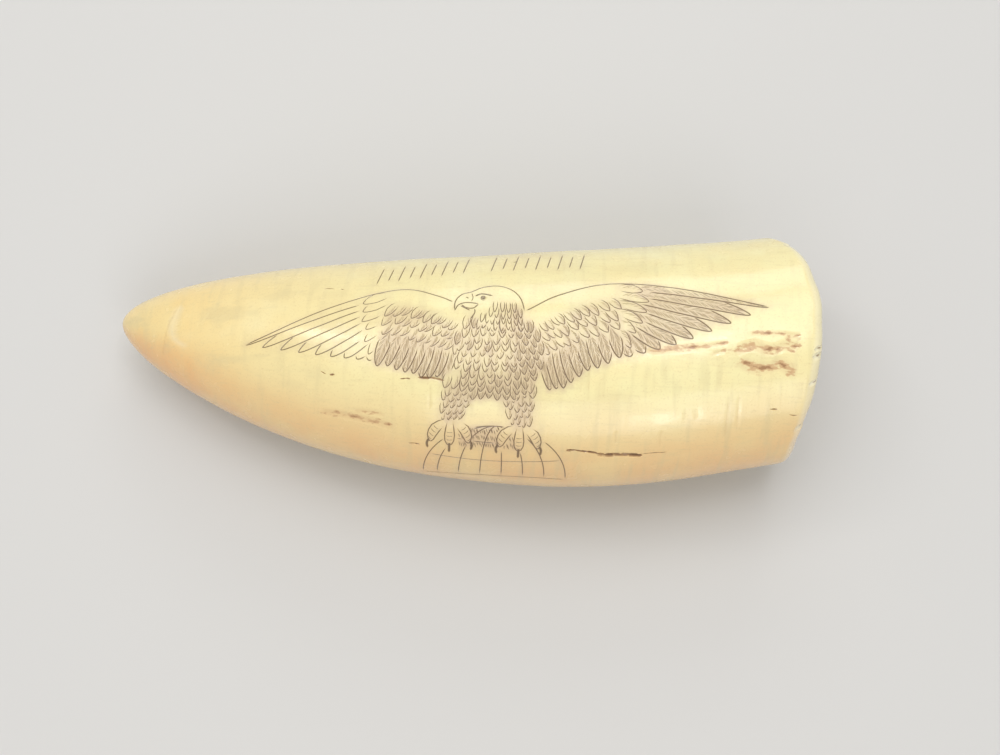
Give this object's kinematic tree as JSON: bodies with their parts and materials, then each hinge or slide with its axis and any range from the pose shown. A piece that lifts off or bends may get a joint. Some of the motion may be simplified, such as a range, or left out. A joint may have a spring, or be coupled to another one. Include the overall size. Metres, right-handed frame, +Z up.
{
  "type": "scrimshaw whale tooth",
  "caption": "Polished whale tooth lying on its flank, engraved and inked with a spread eagle, bowed and tapering to a blunt tip, with a hollow root.",
  "frame": {"origin": "on the surface that the tooth lies on, under the middle of its outline seen from above", "axes": "+X from the tip towards the root, +Y towards the side that the tooth hollows in, +Z up out of the engraved face"},
  "size_m": [0.1396, 0.0526, 0.037],
  "materials": {
    "ivory": "polished cream ivory with dark inked engraving, growth bands and brown pits"
  },
  "bodies": {
    "root": {"whale_tooth": "ivory"}
  },
  "joints": []
}
